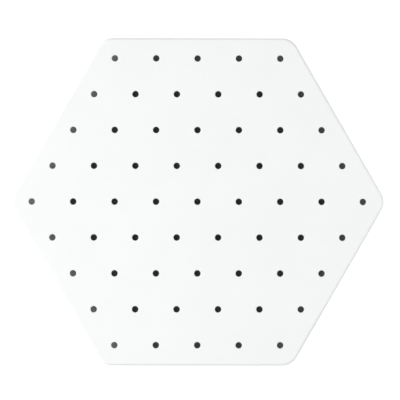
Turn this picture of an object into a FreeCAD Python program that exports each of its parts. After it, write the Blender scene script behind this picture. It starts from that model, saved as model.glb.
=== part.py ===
import FreeCAD, Part
import os
import Sketcher
from FreeCAD import Vector

# Queen excluder: a hexagonal perforated sheet that stands one bee space clear of what it lies
# on. Nine feet hold it up. Each foot slips over a boss moulded under the sheet, a countersunk
# screw driven from below pulls it tight, and a rubber pad pressed into its base hides the screw.
# Millimetres. The hexagon's points are on X, its flat sides face Y, and Z = 0 is the surface
# that the pads stand on, under the middle of the sheet.

# Driving dimensions: alias, value, what it is.
SIZES = [
    ("hole_dia", 5.2, "bee passage, wide enough for a worker and too narrow for a queen"),
    ("hole_pitch", 33.3, "distance between neighbouring passages, three directions alike"),
    ("corner_to_corner", 300.0, "sheet, over two opposite rounded corners"),
    ("corner_round", 13.5, "radius of the sheet's six corners, seen from above"),
    ("sheet_thick", 3.0, "thickness of the sheet"),
    ("rim_round_top", 1.6, "radius of the rim's upper edge"),
    ("rim_round_low", 0.6, "radius of the rim's lower edge"),
    ("hole_lip", 0.3, "radius of each passage's two lips"),
    ("bee_space", 8.0, "clear height under the sheet"),
    ("outer_ring", 3.5, "outer feet: distance from the middle, in pitches"),
    ("inner_ring", 1.5, "inner feet: distance from the middle, in pitches"),
    ("boss_dia", 7.0, "boss under the sheet"),
    ("boss_gap", 0.1, "clearance round and under the boss inside its foot"),
    ("pilot_dia", 2.4, "hole in the boss that the screw's thread grips"),
    ("foot_dia_top", 16.0, "foot where it meets the sheet"),
    ("foot_dia_low", 14.6, "foot at its base"),
    ("foot_edge", 0.5, "rounding of the foot's base"),
    ("web_top", 4.2, "height of the foot's web, which the screw clamps"),
    ("screw_hole_dia", 3.2, "clearance hole for the screw in the web"),
    ("head_dia", 5.5, "countersunk screw head"),
    ("head_sink", 0.1, "how far the head lies inside the web's face"),
    ("thread_dia", 2.9, "screw, outside diameter"),
    ("screw_length", 6.5, "screw, over its head"),
    ("point_length", 1.2, "screw's tapered point"),
    ("recess_width", 0.8, "cross recess in the head, width of its slots"),
    ("recess_span", 3.0, "cross recess in the head, tip to tip"),
    ("recess_depth", 1.3, "cross recess in the head, depth"),
    ("pad_dia", 12.0, "rubber pad"),
    ("pad_thick", 1.4, "rubber pad, thickness"),
    ("pad_proud", 0.6, "how far the pad stands below the foot"),
    ("pad_gap", 0.1, "clearance round the pad in the foot"),
    ("pad_edge", 0.3, "rounding of the pad's lower edge"),
]
RINGS = 4  # rings of passages round the middle one
OUTER_ANGLES = [0, 60, 120, 180, 240, 300]  # degrees from +X, under the sheet's corners
INNER_ANGLES = [60, 180, 300]

doc = FreeCAD.newDocument("queen_excluder")
sheet_of_sizes = doc.addObject("Spreadsheet::Sheet", "Sizes")


def fill_sheet():
    """Write each driving dimension beside its name and meaning, and give its cell an alias."""
    for row, (alias, value, meaning) in enumerate(SIZES, start=1):
        sheet_of_sizes.set("A%d" % row, alias)
        sheet_of_sizes.set("B%d" % row, str(value))
        sheet_of_sizes.setAlias("B%d" % row, alias)
        sheet_of_sizes.set("C%d" % row, meaning)
    doc.recompute()


def new_body(name):
    """A PartDesign body whose label names the piece."""
    body = doc.addObject("PartDesign::Body", name)
    body.Label = name
    return body


def origin_feature(body, role):
    """One of the body's own origin planes or axes, such as XY_Plane."""
    return next(item for item in body.Origin.OriginFeatures if item.Role == role)


def new_sketch(body, name, plane, height=None):
    """A sketch on an origin plane, raised along its normal by the expression given."""
    sketch = body.newObject("Sketcher::SketchObject", name)
    sketch.AttachmentSupport = [(origin_feature(body, plane), "")]
    sketch.MapMode = "FlatFace"
    if height:
        sketch.setExpression("AttachmentOffset.Base.z", height)
    doc.recompute()
    return sketch


def value_of(sketch, expression):
    """The expression's number, so that geometry is drawn where its constraints will hold it."""
    result = sketch.evalExpression(expression)
    return float(getattr(result, "Value", result))


def bind(sketch, kind, references, expression):
    """Add a dimension to the sketch, driven by an expression."""
    value = value_of(sketch, expression)
    index = sketch.addConstraint(Sketcher.Constraint(kind, *references, value))
    name = "%s_%d" % (kind.lower(), index)
    sketch.renameConstraint(index, name)
    sketch.setExpression("Constraints." + name, expression)


def place_point(sketch, geometry, position, across, up):
    """Hold a point at (across, up) from the sketch's origin. None means on that axis."""
    for kind, axis, expression in (("DistanceX", -2, across), ("DistanceY", -1, up)):
        if expression is None:
            sketch.addConstraint(Sketcher.Constraint("PointOnObject", geometry, position, axis))
        else:
            bind(sketch, kind, (-1, 1, geometry, position), expression)


def add_circle(sketch, across, up, diameter):
    """A circle whose centre and diameter are expressions."""
    at = [0 if item is None else value_of(sketch, item) for item in (across, up)]
    circle = Part.Circle(Vector(*at, 0), Vector(0, 0, 1), value_of(sketch, diameter) / 2)
    geometry = sketch.addGeometry(circle)
    place_point(sketch, geometry, 3, across, up)
    bind(sketch, "Diameter", (geometry,), diameter)


def add_outline(sketch, corners):
    """A closed outline of straight lines through (across, up) expressions."""
    points = [
        Vector(*[0 if item is None else value_of(sketch, item) for item in corner], 0)
        for corner in corners
    ]
    count = len(points)
    for index in range(count):
        sketch.addGeometry(Part.LineSegment(points[index], points[(index + 1) % count]))
    for index in range(count):
        joined = Sketcher.Constraint("Coincident", index, 2, (index + 1) % count, 1)
        sketch.addConstraint(joined)
        place_point(sketch, index, 1, *corners[index])


def pad(body, sketch, name, length, downwards=False):
    feature = body.newObject("PartDesign::Pad", name)
    feature.Profile = sketch
    feature.Reversed = downwards
    feature.setExpression("Length", length)
    doc.recompute()
    return feature


def pocket(body, sketch, name, depth, upwards):
    """Cut the sketch out of the body along +Z or -Z, and make sure that it cuts something."""
    before = body.Shape.Volume
    feature = body.newObject("PartDesign::Pocket", name)
    feature.Profile = sketch
    feature.Reversed = upwards
    feature.setExpression("Length", depth)
    doc.recompute()
    if feature.Shape.Volume > before - 0.01:
        raise ValueError("%s cuts nothing" % name)
    return feature


def polar(body, features, name, count):
    """Repeat features round the body's Z axis."""
    feature = body.newObject("PartDesign::PolarPattern", name)
    feature.Originals = features
    feature.Axis = (origin_feature(body, "Z_Axis"), [""])
    feature.Angle = 360
    feature.Occurrences = count
    body.Tip = feature
    doc.recompute()
    return feature


def revolve(body, sketch, name):
    """Turn a half outline on the XZ plane round the Z axis."""
    feature = body.newObject("PartDesign::Revolution", name)
    feature.Profile = sketch
    feature.ReferenceAxis = (sketch, ["V_Axis"])
    feature.Angle = 360
    doc.recompute()
    return feature


def fillet(body, base, name, edges, radius):
    feature = body.newObject("PartDesign::Fillet", name)
    feature.Base = (base, edges)
    feature.setExpression("Radius", radius)
    doc.recompute()
    return feature


def edges_where(feature, wanted):
    """The names of the feature's edges for which wanted(edge) is true."""
    return [
        "Edge%d" % number
        for number, edge in enumerate(feature.Shape.Edges, start=1)
        if wanted(edge)
    ]


def is_ring(edge, diameter, height):
    """Is the edge a whole circle of this diameter, lying flat at this height?"""
    curve = edge.Curve
    return (
        isinstance(curve, Part.Circle)
        and edge.isClosed()
        and abs(2 * curve.Radius - diameter) < 1e-4
        and abs(curve.Center.z - height) < 1e-4
    )


def lies_at(edge, height):
    """Does the whole edge lie at this height?"""
    box = edge.BoundBox
    return abs(box.ZMin - height) < 1e-4 and abs(box.ZMax - height) < 1e-4


# ---- the perforated sheet ------------------------------------------------------------------
# One moulding, modelled at its own height. The blank is a hexagon with rounded corners. One
# sixth of the passages is drawn and repeated round the middle, and the bosses hang under it.

def make_sheet():
    body = new_body("perforated_sheet")
    low = sheet_of_sizes.bee_space
    top = low + sheet_of_sizes.sheet_thick

    outline = new_sketch(body, "sheet_outline", "XY_Plane", "Sizes.bee_space")
    point = "(Sizes.corner_to_corner / 2 + Sizes.corner_round * (2 / sqrt(3) - 1))"
    half = point + " * sqrt(3) / 2"
    side = point + " / 2"
    add_outline(outline, [
        (point, None), (side, half), ("-" + side, half),
        ("-" + point, None), ("-" + side, "-" + half), (side, "-" + half),
    ])
    blank = pad(body, outline, "blank", "Sizes.sheet_thick")
    corners = edges_where(blank, lambda edge: edge.BoundBox.ZLength > 1)
    rounded = fillet(body, blank, "rounded_corners", corners, "Sizes.corner_round")
    upper = edges_where(rounded, lambda edge: lies_at(edge, top))
    rim = fillet(body, rounded, "upper_rim", upper, "Sizes.rim_round_top")
    lower = edges_where(rim, lambda edge: lies_at(edge, low))
    fillet(body, rim, "lower_rim", lower, "Sizes.rim_round_low")

    middle = new_sketch(body, "middle_passage_outline", "XY_Plane", "Sizes.bee_space")
    add_circle(middle, None, None, "Sizes.hole_dia")
    pocket(body, middle, "middle_passage", "Sizes.sheet_thick", upwards=True)

    sixth = new_sketch(body, "passages_outline", "XY_Plane", "Sizes.bee_space")
    for ring in range(1, RINGS + 1):
        for step in range(ring):
            across = "(%d - %d / 2) * Sizes.hole_pitch" % (ring, step)
            up = "%d * sqrt(3) / 2 * Sizes.hole_pitch" % step if step else None
            add_circle(sixth, across, up, "Sizes.hole_dia")
    cut = pocket(body, sixth, "passages", "Sizes.sheet_thick", upwards=True)
    drilled = polar(body, [cut], "all_passages", 6)

    hole = sheet_of_sizes.hole_dia
    lips = edges_where(
        drilled, lambda edge: is_ring(edge, hole, top) or is_ring(edge, hole, low)
    )
    if len(lips) != 2 * (1 + 3 * RINGS * (RINGS + 1)):
        raise ValueError("passages are missing or closed")
    fillet(body, drilled, "passage_lips", lips, "Sizes.hole_lip")

    add_bosses(body, "outer_boss", "Sizes.outer_ring", OUTER_ANGLES)
    add_bosses(body, "inner_boss", "Sizes.inner_ring", INNER_ANGLES)
    return body


def add_bosses(body, name, ring, angles):
    """Bosses under the sheet at these angles, each with a pilot hole for its foot's screw."""
    height = "Sizes.bee_space - Sizes.web_top - Sizes.boss_gap"
    across, up = foot_place(ring, angles[0])
    outline = new_sketch(body, name + "_outline", "XY_Plane", "Sizes.bee_space")
    add_circle(outline, across, up, "Sizes.boss_dia")
    boss = pad(body, outline, name, height, downwards=True)
    pilot_outline = new_sketch(
        body, name + "_pilot_outline", "XY_Plane", "Sizes.web_top + Sizes.boss_gap"
    )
    add_circle(pilot_outline, across, up, "Sizes.pilot_dia")
    pilot = pocket(body, pilot_outline, name + "_pilot", height, upwards=True)
    polar(body, [boss, pilot], name + "_pattern", len(angles))


def foot_place(ring, angle):
    """A foot's centre as two expressions, with None for a centre on that axis."""
    reach = "%s * Sizes.hole_pitch" % ring
    across = "%s * cos(%d)" % (reach, angle)
    up = "%s * sin(%d)" % (reach, angle) if angle % 180 else None
    return across, up


def put(body, ring, angle):
    """Stand a piece at its foot's place."""
    across, up = foot_place(ring, angle)
    body.setExpression("Placement.Base.x", across)
    if up:
        body.setExpression("Placement.Base.y", up)


# ---- the feet ------------------------------------------------------------------------------
# A moulded spacer, turned in section: a socket for the boss above, a web with a countersunk
# hole across the middle, and a shallow recess for the pad below.

def make_foot(name):
    body = new_body(name)
    outline = new_sketch(body, name + "_section", "XZ_Plane")
    base = "Sizes.pad_proud"
    face = "Sizes.pad_thick"
    cone = "(Sizes.head_dia / 2 + Sizes.head_sink)"
    clear = "Sizes.screw_hole_dia / 2"
    recess = "Sizes.pad_dia / 2 + Sizes.pad_gap"
    socket = "Sizes.boss_dia / 2 + Sizes.boss_gap"
    add_outline(outline, [
        (recess, base),
        ("Sizes.foot_dia_low / 2", base),
        ("Sizes.foot_dia_top / 2", "Sizes.bee_space"),
        (socket, "Sizes.bee_space"),
        (socket, "Sizes.web_top"),
        (clear, "Sizes.web_top"),
        (clear, "%s + %s - %s" % (face, cone, clear)),
        (cone, face),
        (recess, face),
    ])
    turned = revolve(body, outline, name + "_turned")
    low = sheet_of_sizes.pad_proud
    base_edge = edges_where(turned, lambda edge: is_ring(edge, sheet_of_sizes.foot_dia_low, low))
    fillet(body, turned, name + "_base_edge", base_edge, "Sizes.foot_edge")
    return body


# ---- the screws ----------------------------------------------------------------------------
# A countersunk self-tapping screw driven upwards. Its cone seats in the web, the shank passes
# the clearance hole at full thread size, and inside the boss only the thread's core is drawn,
# because the thread has bitten into the wall.

def make_screw(name):
    body = new_body(name)
    outline = new_sketch(body, name + "_section", "XZ_Plane")
    head = "(Sizes.pad_thick + Sizes.head_sink)"
    shank = "Sizes.thread_dia / 2"
    core = "Sizes.pilot_dia / 2"
    grip = "Sizes.web_top + Sizes.boss_gap"
    tip = "%s + Sizes.screw_length" % head
    add_outline(outline, [
        (None, head),
        ("Sizes.head_dia / 2", head),
        (shank, "%s + Sizes.head_dia / 2 - %s" % (head, shank)),
        (shank, grip),
        (core, grip),
        (core, "%s - Sizes.point_length" % tip),
        (None, tip),
    ])
    turned = revolve(body, outline, name + "_turned")
    for turn, plane_name in enumerate(("recess_across", "recess_along")):
        slot = new_sketch(body, "%s_%s" % (name, plane_name), "XY_Plane", head)
        sizes = ["Sizes.recess_span / 2", "Sizes.recess_width / 2"]
        wide, deep = sizes if turn == 0 else reversed(sizes)
        add_outline(slot, [
            (wide, deep), ("-" + wide, deep), ("-" + wide, "-" + deep), (wide, "-" + deep),
        ])
        pocket(body, slot, "%s_%s_cut" % (name, plane_name), "Sizes.recess_depth", upwards=True)
    return body


# ---- the pads ------------------------------------------------------------------------------
# A rubber disc pressed into the foot's recess. It stands proud of the foot, so the whole part
# rests on its nine pads.

def make_rubber_pad(name):
    body = new_body(name)
    outline = new_sketch(body, name + "_outline", "XY_Plane")
    add_circle(outline, None, None, "Sizes.pad_dia")
    disc = pad(body, outline, name + "_disc", "Sizes.pad_thick")
    edge = edges_where(disc, lambda edge: is_ring(edge, sheet_of_sizes.pad_dia, 0))
    fillet(body, disc, name + "_edge", edge, "Sizes.pad_edge")
    return body


def make_all():
    pieces = [make_sheet()]
    for group, ring, angles in (
        ("outer", "Sizes.outer_ring", OUTER_ANGLES),
        ("inner", "Sizes.inner_ring", INNER_ANGLES),
    ):
        for number, angle in enumerate(angles, start=1):
            for kind, make in (
                ("foot", make_foot), ("screw", make_screw), ("pad", make_rubber_pad)
            ):
                piece = make("%s_%s_%d" % (group, kind, number))
                put(piece, ring, angle)
                pieces.append(piece)
    doc.recompute()
    return pieces


def check_and_export(pieces):
    """Stop on any failed object or bad solid, then write one file for each piece."""
    for item in doc.Objects:
        if "Invalid" in item.State or "Error" in item.State:
            raise ValueError("%s failed: %s" % (item.Label, item.State))
    for piece in pieces:
        shape = piece.Shape
        if shape.isNull() or not shape.isValid() or len(shape.Solids) != 1:
            raise ValueError("%s is not one sound solid" % piece.Label)
    os.makedirs("parts", exist_ok=True)
    for piece in pieces:
        piece.Shape.exportStep("parts/%s.step" % piece.Label)
        box = piece.Shape.BoundBox
        sizes = (piece.Label, piece.Shape.Volume, box.ZMin, box.ZMax)
        print("%-18s %9.1f mm3  z %.2f to %.2f" % sizes)


fill_sheet()
check_and_export(make_all())
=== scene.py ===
import math

import bmesh
import bpy
from mathutils import Matrix, Vector


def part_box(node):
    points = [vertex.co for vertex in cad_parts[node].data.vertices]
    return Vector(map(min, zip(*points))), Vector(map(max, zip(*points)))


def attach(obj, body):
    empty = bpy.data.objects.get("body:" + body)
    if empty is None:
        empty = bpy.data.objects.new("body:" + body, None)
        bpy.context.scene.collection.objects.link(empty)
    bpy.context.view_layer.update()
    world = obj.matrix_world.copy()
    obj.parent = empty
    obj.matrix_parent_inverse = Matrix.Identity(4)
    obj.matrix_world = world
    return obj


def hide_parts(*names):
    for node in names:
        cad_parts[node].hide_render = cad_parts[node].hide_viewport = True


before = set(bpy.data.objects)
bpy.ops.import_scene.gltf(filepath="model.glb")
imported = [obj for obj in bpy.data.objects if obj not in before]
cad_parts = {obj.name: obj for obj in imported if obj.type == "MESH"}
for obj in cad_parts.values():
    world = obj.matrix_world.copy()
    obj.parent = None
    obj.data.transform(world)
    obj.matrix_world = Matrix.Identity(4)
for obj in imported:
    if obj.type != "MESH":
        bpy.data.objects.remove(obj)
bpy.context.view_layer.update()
MM = 0.001

# ---- The perforated sheet ------------------------------------------------------------------
# One flat injection moulding, 3 mm thick, in white polypropylene. The passages are cored with
# rounded lips, the rim is rounded, and the bosses that take the feet's screws hang below it.

SHEET_LOW, SHEET_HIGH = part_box("perforated_sheet")
SHEET_TOP = SHEET_HIGH.z
SHEET_THICK = 3 * MM
SHEET_BOTTOM = SHEET_TOP - SHEET_THICK
HALF_FLATS = SHEET_HIGH.y
HALF_CORNERS = SHEET_HIGH.x
CORNER_ROUND = 13.5 * MM
RIM_FALL_WIDTH = 2.2 * MM
RIM_FALL = 1.3 * MM
RIM_ROUND_LOW = 0.6 * MM
PARTING_PROUD = 0.05 * MM
PARTING_WIDTH = 0.3 * MM
PITCH = 33.3 * MM
PASSAGE_RADIUS = 2.6 * MM
PASSAGE_SIDES = 48
LIP = 0.3 * MM
RINGS_OF_PASSAGES = 4
BOSS_RADIUS = 3.5 * MM
BOSS_LOW = SHEET_LOW.z
BOSS_EDGE = 0.3 * MM
BOSS_SIDES = 32
PILOT_RADIUS = 1.2 * MM
EJECTOR_REACHES = (2 * PITCH / math.sqrt(3), 5 * PITCH / math.sqrt(3))
EJECTOR_RADIUS = 2.5 * MM
EJECTOR_DEPTH = 0.2 * MM
GATE_RADIUS = 4 * MM
GATE_DEPTH = 0.35 * MM
GATE_STUB_RADIUS = 0.9 * MM
GATE_STUB_TAPER = 0.9
GATE_STUB_LOW = 0.3  # of the dent's depth
MARK_SIDES = 32
SINK_RADIUS = 5 * MM
SINK_DEPTH = 0.06 * MM
SINK_RINGS = 5
SHARP_TURN = math.radians(40)
FLATNESS_WEIGHT = 100  # how far a large face outweighs the small ones round it in shading
NOISE_LOW, NOISE_HIGH = 0.3, 0.7  # most of a noise's values lie between these
# The bosses stand where the feet do.
FOOT_PLACES = {}
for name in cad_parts:
    if "_foot_" in name:
        lowest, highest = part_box(name)
        FOOT_PLACES[name] = Vector(((lowest.x + highest.x) / 2, (lowest.y + highest.y) / 2, 0))


def linear(hex_colour):
    """An sRGB hex colour as Blender's linear RGBA."""
    channels = []
    for start in (1, 3, 5):
        value = int(hex_colour[start:start + 2], 16) / 255
        channels.append(value / 12.92 if value <= 0.04045 else ((value + 0.055) / 1.055) ** 2.4)
    return (*channels, 1)


def add_node(tree, kind, settings=None, **links):
    """A node with its settings, and its inputs set or linked. Spaces in a socket's name are _."""
    node = tree.nodes.new(kind)
    for name, value in (settings or {}).items():
        setattr(node, name, value)
    for name, source in links.items():
        socket = node.inputs[name.replace("_", " ")]
        if isinstance(source, bpy.types.NodeSocket):
            tree.links.new(source, socket)
        else:
            socket.default_value = source
    return node


def new_material(name):
    """A material with an empty tree, its Principled shader and its output."""
    material = bpy.data.materials.new(name)
    material.use_nodes = True
    tree = material.node_tree
    tree.nodes.clear()
    shader = add_node(tree, "ShaderNodeBsdfPrincipled")
    add_node(tree, "ShaderNodeOutputMaterial", Surface=shader.outputs["BSDF"])
    return material, tree, shader


def per_mm(size_mm):
    """The scale that makes a noise's features about this many millimetres across."""
    return 1 / (size_mm * MM)


def noise(tree, size_mm, detail=2.0):
    """A solid noise over the object, with features of a real size."""
    place = add_node(tree, "ShaderNodeTexCoord").outputs["Object"]
    return add_node(
        tree, "ShaderNodeTexNoise", Vector=place, Scale=per_mm(size_mm), Detail=detail
    ).outputs["Fac"]


def spread(tree, value, low, high):
    """A noise stretched to run from low to high."""
    return add_node(
        tree, "ShaderNodeMapRange", Value=value, From_Min=NOISE_LOW, From_Max=NOISE_HIGH,
        To_Min=low, To_Max=high,
    ).outputs["Result"]


def tint(tree, value, first, second):
    """A colour that moves from first to second as the pattern goes from 0 to 1."""
    mix = add_node(tree, "ShaderNodeMix", {"data_type": "RGBA"})
    tree.links.new(value, mix.inputs[0])
    mix.inputs[6].default_value = linear(first)
    mix.inputs[7].default_value = linear(second)
    return mix.outputs[2]


def moulded_polypropylene():
    """White polypropylene from a spark-eroded mould: opaque, satin, with a fine even grain.
    The pigment drifts a little from place to place, and the grain varies with the tool's wear."""
    material, tree, shader = new_material("white moulded polypropylene")
    drift = spread(tree, noise(tree, 45, 3), 0, 1)
    colour = tint(tree, drift, "#F0F2F1", "#EEF0EF")
    tree.links.new(colour, shader.inputs["Base Color"])
    gloss = spread(tree, noise(tree, 9, 4), 0.40, 0.47)
    tree.links.new(gloss, shader.inputs["Roughness"])
    grain = noise(tree, 0.3, 3)
    bump = add_node(tree, "ShaderNodeBump", Strength=0.6, Distance=0.015 * MM, Height=grain)
    tree.links.new(bump.outputs["Normal"], shader.inputs["Normal"])
    shader.inputs["IOR"].default_value = 1.49
    return material


def ring(mesh, centre, radius, height, count):
    """A circle of vertices."""
    turns = [2 * math.pi * step / count for step in range(count)]
    return [
        mesh.verts.new((centre.x + radius * math.cos(a), centre.y + radius * math.sin(a), height))
        for a in turns
    ]


def bridge(mesh, loops):
    """Quads from each closed loop of vertices to the next."""
    for near, far in zip(loops, loops[1:]):
        for step in range(len(near)):
            after = (step + 1) % len(near)
            mesh.faces.new((near[step], near[after], far[after], far[step]))


def loop_edges(mesh, loop):
    """The edges round a closed loop of vertices, made where they're missing."""
    pairs = zip(loop, loop[1:] + loop[:1])
    return [mesh.edges.get(pair) or mesh.edges.new(pair) for pair in pairs]


def quarter(radius, steps, start, sense):
    """Offsets along a quarter circle, from the angle start, 90 degrees on (1) or back (-1)."""
    angles = [math.radians(start + sense * 90 * step / steps) for step in range(steps + 1)]
    return [(radius * math.cos(a), radius * math.sin(a)) for a in angles]


def finish_mesh(mesh, name, materials, node):
    """Make the piece and stand it for its CAD node. Its round faces are all quads, and are
    shaded smooth, but for edges that turn sharply. Its flat ones are filled outlines."""
    bmesh.ops.recalc_face_normals(mesh, faces=mesh.faces[:])
    for edge in mesh.edges:
        edge.smooth = edge.calc_face_angle(0) < SHARP_TURN
    data = bpy.data.meshes.new(name)
    for face in mesh.faces:
        face.smooth = len(face.verts) == 4
    mesh.to_mesh(data)
    mesh.free()
    for material in materials:
        data.materials.append(material)
    piece = bpy.data.objects.new(name, data)
    bpy.context.scene.collection.objects.link(piece)
    soften = piece.modifiers.new("flat faces stay flat", "WEIGHTED_NORMAL")
    soften.mode = "FACE_AREA_WITH_ANGLE"
    soften.weight = FLATNESS_WEIGHT
    soften.keep_sharp = True
    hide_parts(node)
    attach(piece, "root")


def rounded_hexagon(mesh, inset, height, steps=16):
    """The sheet's outline, moved in by inset: straight sides with an arc at each corner."""
    reach = (HALF_FLATS - CORNER_ROUND) / math.cos(math.radians(30))
    loop = []
    for corner in range(6):
        axis = math.radians(60 * corner)
        for step in range(steps + 1):
            facing = axis + math.radians(60 * step / steps - 30)
            x = reach * math.cos(axis) + (CORNER_ROUND - inset) * math.cos(facing)
            y = reach * math.sin(axis) + (CORNER_ROUND - inset) * math.sin(facing)
            loop.append(mesh.verts.new((x, y, height)))
    return loop


def rim_profile():
    """The rim from the upper face to the lower, as (inset, height) pairs. The upper face falls
    away in a flattened round. The two halves of the mould meet in a fine raised line, and the
    wall draws in a little above and below it."""
    top_turn = quarter(1, 10, 90, -1)
    low_turn = quarter(RIM_ROUND_LOW, 5, 0, -1)
    line = SHEET_BOTTOM + RIM_ROUND_LOW + PARTING_WIDTH
    profile = [
        (PARTING_PROUD + RIM_FALL_WIDTH * (1 - out), SHEET_TOP - RIM_FALL * (1 - up))
        for out, up in top_turn
    ]
    profile.append((PARTING_PROUD, line + PARTING_WIDTH / 2))
    profile.append((0, line))
    profile.append((PARTING_PROUD, line - PARTING_WIDTH / 2))
    profile.extend(
        (PARTING_PROUD + RIM_ROUND_LOW - out, SHEET_BOTTOM + RIM_ROUND_LOW + up)
        for out, up in low_turn
    )
    return profile


def passage_places():
    """Centres of the passages: a triangular grid inside a hexagon, its points along X."""
    places = []
    for row in range(-RINGS_OF_PASSAGES, RINGS_OF_PASSAGES + 1):
        count = 2 * RINGS_OF_PASSAGES + 1 - abs(row)
        for step in range(count):
            across = (step - (count - 1) / 2) * PITCH
            places.append(Vector((across, row * PITCH * math.sqrt(3) / 2, 0)))
    return places


def around(reach, first, count):
    """Places evenly round the middle, the first at this angle in degrees."""
    turns = [math.radians(first + 360 * step / count) for step in range(count)]
    return [Vector((reach * math.cos(a), reach * math.sin(a), 0)) for a in turns]


def make_sheet():
    """The walls of the rim, passages, bosses and marks come first, each open at the faces. The
    upper and lower face are then filled between the loops where those walls end."""
    mesh = bmesh.new()
    rim = [rounded_hexagon(mesh, inset, height) for inset, height in rim_profile()]
    bridge(mesh, rim)
    upper_loops, lower_loops = [rim[0]], [rim[-1]]

    upper_lip = [
        (PASSAGE_RADIUS + LIP - out, SHEET_TOP - LIP + up) for out, up in quarter(LIP, 4, 90, -1)
    ]
    lower_lip = [
        (PASSAGE_RADIUS + LIP - out, SHEET_BOTTOM + LIP + up)
        for out, up in quarter(LIP, 4, 0, -1)
    ]
    for place in passage_places():
        wall = [
            ring(mesh, place, radius, height, PASSAGE_SIDES)
            for radius, height in upper_lip + lower_lip
        ]
        bridge(mesh, wall)
        upper_loops.append(wall[0])
        lower_loops.append(wall[-1])

    for place in FOOT_PLACES.values():
        lower_loops.append(add_boss(mesh, place))
        upper_loops.append(add_sink_mark(mesh, place))

    # Ejector pins leave shallow round dents, midway between three passages.
    for reach in EJECTOR_REACHES:
        for place in around(reach, 30, 6):
            lower_loops.append(add_dent(mesh, place, EJECTOR_RADIUS, EJECTOR_DEPTH))
    gate = Vector((0, PITCH / math.sqrt(3), 0))
    lower_loops.append(add_dent(mesh, gate, GATE_RADIUS, GATE_DEPTH, stub=GATE_STUB_RADIUS))

    for loops in (upper_loops, lower_loops):
        edges = [edge for loop in loops for edge in loop_edges(mesh, loop)]
        bmesh.ops.triangle_fill(mesh, use_beauty=True, edges=edges, normal=(0, 0, 1))
    sheet_plastic = moulded_polypropylene()
    finish_mesh(mesh, "sheet_moulding", [sheet_plastic], "perforated_sheet")


def add_boss(mesh, place):
    """A boss below the sheet, its edge eased, with a blind pilot hole up its middle."""
    profile = [
        (BOSS_RADIUS, SHEET_BOTTOM),
        (BOSS_RADIUS, BOSS_LOW + BOSS_EDGE),
        (BOSS_RADIUS - BOSS_EDGE, BOSS_LOW),
        (PILOT_RADIUS + BOSS_EDGE / 2, BOSS_LOW),
        (PILOT_RADIUS, BOSS_LOW + BOSS_EDGE / 2),
        (PILOT_RADIUS, SHEET_BOTTOM),
    ]
    rings = [ring(mesh, place, radius, height, BOSS_SIDES) for radius, height in profile]
    bridge(mesh, rings)
    mesh.faces.new(rings[-1])
    return rings[0]


def add_sink_mark(mesh, place):
    """The plastic over a boss cools last and draws the upper face down into a faint dish."""
    rings = []
    for step in range(SINK_RINGS):
        part = 1 - step / SINK_RINGS
        drop = SINK_DEPTH * (1 + math.cos(math.pi * part)) / 2
        rings.append(ring(mesh, place, SINK_RADIUS * part, SHEET_TOP - drop, MARK_SIDES))
    bridge(mesh, rings)
    mesh.faces.new(rings[-1])
    return rings[0]


def add_dent(mesh, place, radius, depth, stub=None):
    """A shallow round dent in the underside, and in the gate's dent the stub that was cut."""
    profile = [(radius, SHEET_BOTTOM), (radius - depth / 2, SHEET_BOTTOM + depth)]
    if stub:
        profile.append((stub, SHEET_BOTTOM + depth))
        profile.append((stub * GATE_STUB_TAPER, SHEET_BOTTOM + depth * GATE_STUB_LOW))
    rings = [ring(mesh, place, reach, height, MARK_SIDES) for reach, height in profile]
    bridge(mesh, rings)
    mesh.faces.new(rings[-1])
    return rings[0]


make_sheet()

# ---- The feet ------------------------------------------------------------------------------
# Nine round spacers, moulded in natural nylon, one over each boss. They set the bee space under
# the sheet. Each is clamped to the sheet by its screw and touches it all round.

FOOT_LOW, FOOT_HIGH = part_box("outer_foot_1")
FOOT_RADIUS_TOP = (FOOT_HIGH.x - FOOT_LOW.x) / 2
FOOT_RADIUS_LOW = 7.3 * MM
FOOT_EDGE = 0.5 * MM
FOOT_TOP_EDGE = 0.25 * MM
FOOT_SIDES = 72
RECESS_RADIUS = 6.1 * MM
RECESS_TOP = 1.4 * MM
CONE_RADIUS = 2.85 * MM
CLEARANCE_RADIUS = 1.6 * MM
WEB_TOP = 4.2 * MM
SOCKET_RADIUS = 3.6 * MM


def natural_nylon():
    """Unpigmented nylon: warm, milky and a little translucent, with a soft moulded sheen."""
    material, tree, shader = new_material("natural nylon")
    milk = spread(tree, noise(tree, 6, 3), 0, 1)
    tree.links.new(tint(tree, milk, "#E9E7DF", "#E2E0D6"), shader.inputs["Base Color"])
    sheen = spread(tree, noise(tree, 2.5, 3), 0.34, 0.46)
    tree.links.new(sheen, shader.inputs["Roughness"])
    skin = noise(tree, 0.5, 2)
    bump = add_node(tree, "ShaderNodeBump", Strength=0.15, Distance=0.02 * MM, Height=skin)
    tree.links.new(bump.outputs["Normal"], shader.inputs["Normal"])
    shader.inputs["IOR"].default_value = 1.53
    shader.inputs["Subsurface Weight"].default_value = 0.15
    shader.inputs["Subsurface Radius"].default_value = (1.2, 1.0, 0.8)
    shader.inputs["Subsurface Scale"].default_value = MM
    return material


def turned(mesh, place, profile, count):
    """A closed section turned round a vertical axis."""
    rings = [ring(mesh, place, radius, height, count) for radius, height in profile]
    bridge(mesh, rings + rings[:1])


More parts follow.
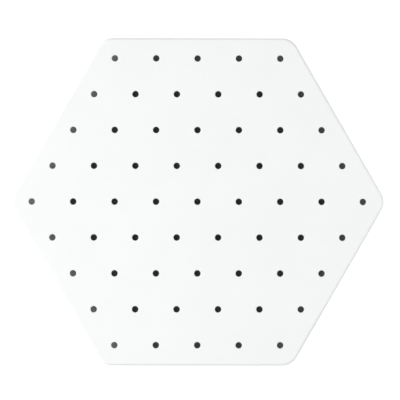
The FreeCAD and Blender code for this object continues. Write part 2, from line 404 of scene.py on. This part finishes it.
def foot_profile():
    """The foot's section: down its drawn-in outside, round its base, and up through the pad's
    recess, the seat of the screw's cone, the clearance hole and the boss's socket."""
    base_turn = quarter(FOOT_EDGE, 5, 0, -1)
    outer = [
        (FOOT_RADIUS_TOP - FOOT_TOP_EDGE, FOOT_HIGH.z),
        (FOOT_RADIUS_TOP - FOOT_TOP_EDGE * 0.3, FOOT_HIGH.z - FOOT_TOP_EDGE * 0.3),
        (FOOT_RADIUS_TOP - FOOT_TOP_EDGE * 0.1, FOOT_HIGH.z - FOOT_TOP_EDGE),
    ]
    base = [
        (FOOT_RADIUS_LOW - FOOT_EDGE + out, FOOT_LOW.z + FOOT_EDGE + up) for out, up in base_turn
    ]
    inner = [
        (RECESS_RADIUS, FOOT_LOW.z),
        (RECESS_RADIUS, RECESS_TOP),
        (CONE_RADIUS, RECESS_TOP),
        (CLEARANCE_RADIUS, RECESS_TOP + CONE_RADIUS - CLEARANCE_RADIUS),
        (CLEARANCE_RADIUS, WEB_TOP),
        (SOCKET_RADIUS, WEB_TOP),
        (SOCKET_RADIUS, FOOT_HIGH.z),
    ]
    return outer + base + inner


nylon = natural_nylon()
for node, place in FOOT_PLACES.items():
    foot_mesh = bmesh.new()
    turned(foot_mesh, place, foot_profile(), FOOT_SIDES)
    finish_mesh(foot_mesh, node + "_spacer", [nylon], node)

# ---- The screws ----------------------------------------------------------------------------
# Countersunk self-tapping screws in zinc-plated steel, with a cold-formed cross recess and a
# rolled thread. Each is driven up through its foot into the boss, where the thread bites.

SCREW_LOW, SCREW_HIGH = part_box("outer_screw_1")
HEAD_RADIUS = (SCREW_HIGH.x - SCREW_LOW.x) / 2
HEAD_LAND = 0.15 * MM
HEAD_EDGE = 0.06 * MM
CREST_RADIUS = 1.45 * MM
CORE_RADIUS = 1.1 * MM
THREAD_PITCH = 1.1 * MM
THREAD_WIDTH = 0.5 * MM
CREST_LAND = 0.1 * MM
THREAD_RUN_OUT = 0.5 * MM
SCREW_SIDES = 32
ROWS_PER_TURN = 16
POINT_LENGTH = 1.2 * MM
POINT_RADIUS = 0.12 * MM
RECESS_HALF_SPAN = 1.5 * MM
RECESS_HALF_WIDTH = 0.4 * MM
RECESS_DEPTH = 1.2 * MM
RECESS_TAPER = 0.6


def zinc_plate():
    """Bright zinc on steel: cool grey, satin, with the crystals' slight change of gloss."""
    material, tree, shader = new_material("zinc-plated steel")
    crystals = spread(tree, noise(tree, 0.8, 2), 0, 1)
    tree.links.new(tint(tree, crystals, "#C3C6C9", "#B4B8BC"), shader.inputs["Base Color"])
    gloss = spread(tree, noise(tree, 0.8, 2), 0.25, 0.38)
    tree.links.new(gloss, shader.inputs["Roughness"])
    shader.inputs["Metallic"].default_value = 1
    return material


def thread_radius(angle, height, start):
    """The threaded part's surface: one helical ridge on a core, fading in and drawn to a point."""
    turns = (height - start) / THREAD_PITCH - angle / (2 * math.pi)
    from_crest = abs(turns - round(turns)) * THREAD_PITCH
    ridge = (THREAD_WIDTH / 2 - from_crest) / (THREAD_WIDTH / 2 - CREST_LAND / 2)
    ridge = min(1, max(0, ridge)) * min(1, (height - start) / THREAD_RUN_OUT)
    taper = min(1, (SCREW_HIGH.z - height) / POINT_LENGTH)
    past_point = CORE_RADIUS - POINT_RADIUS + ridge * (CREST_RADIUS - CORE_RADIUS)
    return POINT_RADIUS + taper * past_point


def cross_outline(mesh, place, scale, height):
    """The cross recess at one depth: four arms, twelve corners."""
    span, width = RECESS_HALF_SPAN * scale, RECESS_HALF_WIDTH * scale
    one_arm = [(span, -width), (span, width), (width, width)]
    loop = []
    for arm in range(4):
        c, s = round(math.cos(math.pi * arm / 2)), round(math.sin(math.pi * arm / 2))
        for x, y in one_arm:
            loop.append(mesh.verts.new((place.x + c * x - s * y, place.y + s * x + c * y, height)))
    return loop


def make_screw(node, place, steel):
    """Head, cone and threaded shank in one run of rings, with the cross sunk in the head."""
    mesh = bmesh.new()
    face = SCREW_LOW.z
    cone_end = face + HEAD_LAND + HEAD_RADIUS - CORE_RADIUS
    head_profile = [
        (HEAD_RADIUS - HEAD_EDGE, face),
        (HEAD_RADIUS, face + HEAD_EDGE),
        (HEAD_RADIUS, face + HEAD_LAND),
        (CORE_RADIUS, cone_end),
    ]
    rings = [ring(mesh, place, radius, height, SCREW_SIDES) for radius, height in head_profile]
    angles = [2 * math.pi * step / SCREW_SIDES for step in range(SCREW_SIDES)]
    rows = round((SCREW_HIGH.z - cone_end) / (THREAD_PITCH / ROWS_PER_TURN))
    for row in range(1, rows + 1):
        height = cone_end + (SCREW_HIGH.z - cone_end) * row / rows
        threaded = []
        for a in angles:
            radius = thread_radius(a, height, cone_end)
            across = (place.x + radius * math.cos(a), place.y + radius * math.sin(a))
            threaded.append(mesh.verts.new((*across, height)))
        rings.append(threaded)
    bridge(mesh, rings)
    mesh.faces.new(rings[-1])
    recess = [
        cross_outline(mesh, place, 1, face),
        cross_outline(mesh, place, RECESS_TAPER, face + RECESS_DEPTH),
    ]
    bridge(mesh, recess)
    mesh.faces.new(recess[-1])
    rims = [edge for loop in (rings[0], recess[0]) for edge in loop_edges(mesh, loop)]
    bmesh.ops.triangle_fill(mesh, use_beauty=True, edges=rims, normal=(0, 0, -1))
    finish_mesh(mesh, node + "_threaded", [steel], node)


plated = zinc_plate()
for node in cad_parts:
    if "_screw_" in node:
        screw_low, screw_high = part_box(node)
        make_screw(node, (screw_low + screw_high) / 2, plated)

# ---- The pads ------------------------------------------------------------------------------
# Grey rubber discs pressed into the feet. Two grooves moulded in the face that meets the floor
# let it grip, and the sheet's whole weight rests on them.

PAD_EDGE = 0.3 * MM
PAD_GROOVES = (2 * MM, 4 * MM)
GROOVE_WIDTH = 0.6 * MM
GROOVE_DEPTH = 0.35 * MM
PAD_SIDES = 64


def grey_rubber():
    """Moulded rubber: dark grey and matt, its colour dulled in patches by bloom."""
    material, tree, shader = new_material("grey moulded rubber")
    bloom = spread(tree, noise(tree, 3, 4), 0, 1)
    tree.links.new(tint(tree, bloom, "#46494B", "#505355"), shader.inputs["Base Color"])
    dull = spread(tree, noise(tree, 1.5, 3), 0.7, 0.85)
    tree.links.new(dull, shader.inputs["Roughness"])
    pores = noise(tree, 0.3, 3)
    bump = add_node(tree, "ShaderNodeBump", Strength=0.3, Distance=0.03 * MM, Height=pores)
    tree.links.new(bump.outputs["Normal"], shader.inputs["Normal"])
    shader.inputs["Specular IOR Level"].default_value = 0.35
    return material


def pad_profile(low, high, radius):
    """From the middle of the standing face out, round the edge, and back to the middle."""
    profile = []
    for groove in PAD_GROOVES:
        near, far = groove - GROOVE_WIDTH / 2, groove + GROOVE_WIDTH / 2
        ease = GROOVE_WIDTH / 4
        profile.extend([
            (near, low), (near + ease, low + GROOVE_DEPTH),
            (far - ease, low + GROOVE_DEPTH), (far, low),
        ])
    profile.extend(
        (radius - PAD_EDGE + out, low + PAD_EDGE + up) for out, up in quarter(PAD_EDGE, 4, -90, 1)
    )
    profile.append((radius, high))
    return profile


rubber = grey_rubber()
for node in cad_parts:
    if "_pad_" in node:
        pad_low, pad_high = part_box(node)
        middle = (pad_low + pad_high) / 2
        pad_radius = (pad_high.x - pad_low.x) / 2
        pad_mesh = bmesh.new()
        pad_rings = [
            ring(pad_mesh, middle, radius, height, PAD_SIDES)
            for radius, height in pad_profile(pad_low.z, pad_high.z, pad_radius)
        ]
        bridge(pad_mesh, pad_rings)
        pad_mesh.faces.new(pad_rings[0])
        pad_mesh.faces.new(pad_rings[-1])
        finish_mesh(pad_mesh, node + "_disc", [rubber], node)

# ---- The studio ----------------------------------------------------------------------------
# A white table that glows all round the sheet up to its rim. Under the sheet's edge the glow fades
# out to dark grey paint, a painted shadow under the sheet, so the sheet shows against clean white
# and its passages look down into painted shade. Softboxes light it from above, and a strip lamp
# low on the left reaches in under its rim.

FLOOR_HALF = 6.0  # metres, as are the lamps' sizes and distance
# Under the sheet the floor's glow fades out between these two distances: a painted shadow.
PAINTED_SHADOW_FULL_FROM = -11 * MM  # distances from the sheet's outline, outwards
PAINTED_SHADOW_GONE_AT = 0.6 * MM
GLOW_ON_SHEET = 0.6  # how much of its glow the table throws on the sheet
ROOM_LIGHT = 0.1  # how much of the room's white lights the sheet
SOFTBOX_DISTANCE = 1.6
SOFTBOX_WIDTH = 0.9
SOFTBOX_HEIGHT = 0.6
STRIP_HEIGHT = 0.2


def distance_past_outline(tree):
    """How far a place on the floor lies outside the sheet's outline. The folded plane has two
    of the hexagon's sides and two of its corners, and each corner is taken as cut off square."""
    place = add_node(tree, "ShaderNodeTexCoord").outputs["Object"]
    folded = add_node(tree, "ShaderNodeVectorMath", {"operation": "ABSOLUTE"})
    tree.links.new(place, folded.inputs[0])
    sides = ((30, HALF_FLATS), (90, HALF_FLATS))
    corners = ((0, HALF_CORNERS), (60, HALF_CORNERS))
    farthest = None
    for angle, reach in sides + corners:
        towards = (math.cos(math.radians(angle)), math.sin(math.radians(angle)), 0)
        along = add_node(tree, "ShaderNodeVectorMath", {"operation": "DOT_PRODUCT"})
        tree.links.new(folded.outputs["Vector"], along.inputs[0])
        along.inputs[1].default_value = towards
        past = add_node(tree, "ShaderNodeMath", {"operation": "SUBTRACT"})
        tree.links.new(along.outputs["Value"], past.inputs[0])
        past.inputs[1].default_value = reach
        if farthest:
            larger = add_node(tree, "ShaderNodeMath", {"operation": "MAXIMUM"})
            tree.links.new(farthest, larger.inputs[0])
            tree.links.new(past.outputs["Value"], larger.inputs[1])
            past = larger
        farthest = past.outputs["Value"]
    return farthest


def make_floor():
    """The table, which looks brighter than the light it throws on the sheet. Its glow fades out
    under the sheet's edge to grey paint, a painted shadow under the sheet.
    """
    mesh = bmesh.new()
    corners = ((-1, -1), (1, -1), (1, 1), (-1, 1))
    mesh.faces.new([mesh.verts.new((x * FLOOR_HALF, y * FLOOR_HALF, 0)) for x, y in corners])
    data = bpy.data.meshes.new("floor")
    mesh.to_mesh(data)
    mesh.free()
    material = bpy.data.materials.new("white studio floor with painted shadow")
    material.use_nodes = True
    material.cycles.emission_sampling = "NONE"
    tree = material.node_tree
    tree.nodes.clear()
    # The glow fades out under the sheet's edge: a painted shadow under the sheet.
    glow_past_painted_shadow = add_node(
        tree, "ShaderNodeMapRange", {"interpolation_type": "SMOOTHSTEP"},
        Value=distance_past_outline(tree), From_Min=PAINTED_SHADOW_FULL_FROM, From_Max=PAINTED_SHADOW_GONE_AT,
    ).outputs["Result"]
    seen = add_node(tree, "ShaderNodeLightPath").outputs["Is Camera Ray"]
    share = add_node(
        tree, "ShaderNodeMapRange", Value=seen, To_Min=GLOW_ON_SHEET, To_Max=1.0
    ).outputs["Result"]
    strength = add_node(tree, "ShaderNodeMath", {"operation": "MULTIPLY"})
    tree.links.new(glow_past_painted_shadow, strength.inputs[0])
    tree.links.new(share, strength.inputs[1])
    light = add_node(tree, "ShaderNodeEmission", Strength=strength.outputs["Value"])
    # The floor's own mid grey, left bare where the glow fades out under the sheet, is painted
    # shade.
    painted_shade_grey = add_node(tree, "ShaderNodeBsdfDiffuse", Color=linear("#7F7F7F"))
    both = add_node(tree, "ShaderNodeAddShader")
    tree.links.new(light.outputs[0], both.inputs[0])
    tree.links.new(painted_shade_grey.outputs[0], both.inputs[1])
    add_node(tree, "ShaderNodeOutputMaterial", Surface=both.outputs[0])
    data.materials.append(material)
    floor = bpy.data.objects.new("floor", data)
    bpy.context.scene.collection.objects.link(floor)


def softbox(name, azimuth, elevation, power, height=SOFTBOX_HEIGHT):
    """A rectangular lamp that faces the sheet. Azimuth 0 is +X, and 90 is +Y. Power is in watts."""
    lamp = bpy.data.lights.new(name, "AREA")
    lamp.shape = "RECTANGLE"
    lamp.size = SOFTBOX_WIDTH
    lamp.size_y = height
    lamp.energy = power
    holder = bpy.data.objects.new(name, lamp)
    bpy.context.scene.collection.objects.link(holder)
    a, e = math.radians(azimuth), math.radians(elevation)
    away = Vector((math.cos(e) * math.cos(a), math.cos(e) * math.sin(a), math.sin(e)))
    holder.location = away * SOFTBOX_DISTANCE
    holder.rotation_euler = (-away).to_track_quat("-Z", "Y").to_euler()


def make_room():
    """A dim room that lights the sheet a little from all sides, and looks white past the floor."""
    room = bpy.data.worlds.new("studio room")
    bpy.context.scene.world = room
    room.use_nodes = True
    tree = room.node_tree
    seen = add_node(tree, "ShaderNodeLightPath").outputs["Is Camera Ray"]
    strength = add_node(
        tree, "ShaderNodeMapRange", Value=seen, To_Min=ROOM_LIGHT, To_Max=1.0
    ).outputs["Result"]
    backdrop = tree.nodes["Background"]
    backdrop.inputs["Color"].default_value = linear("#FFFFFF")
    tree.links.new(strength, backdrop.inputs["Strength"])


make_floor()
make_room()
softbox("low left strip", 180, 20, 23.0, STRIP_HEIGHT)
softbox("low right softbox", 0, 20, 3.0)
softbox("overhead softbox, right", 0, 50, 8.9)
softbox("overhead softbox, left", 180, 70, 3.7)
softbox("overhead softbox, middle", 0, 90, 0.8)
softbox("overhead softbox, front", 270, 70, 3.9)
softbox("overhead softbox, back", 90, 70, 2.4)

# ---- The camera ----------------------------------------------------------------------------
# Straight above the sheet but for a degree or so, far enough away that the grid hardly
# converges, with the sheet's middle a little left of and below the middle of the view.

CAMERA_DISTANCE = 2.0
CAMERA_LEAN = (-0.53, -1.12)  # degrees from vertical, towards +X and towards +Y
CAMERA_ROLL = 0.077  # degrees
VIEW_MIDDLE = Vector((2.02 * MM, 1.35 * MM, SHEET_TOP))
VIEW_WIDTH = 321.65 * MM


def make_camera():
    """The lens is as long as it takes to see VIEW_WIDTH from CAMERA_DISTANCE."""
    lean_x, lean_y = [math.tan(math.radians(angle)) for angle in CAMERA_LEAN]
    back = Vector((lean_x, lean_y, 1)).normalized()
    right = Vector((0, 1, 0)).cross(back).normalized()
    right.rotate(Matrix.Rotation(math.radians(CAMERA_ROLL), 3, back))
    turn_to_view = Matrix((right, back.cross(right), back)).transposed()
    data = bpy.data.cameras.new("camera")
    camera = bpy.data.objects.new("camera", data)
    bpy.context.scene.collection.objects.link(camera)
    place = VIEW_MIDDLE + back * CAMERA_DISTANCE
    camera.matrix_world = Matrix.LocRotScale(place, turn_to_view, None)
    data.lens = data.sensor_width * CAMERA_DISTANCE / VIEW_WIDTH
    bpy.context.scene.camera = camera


make_camera()
bpy.context.scene.view_settings.view_transform = "Standard"
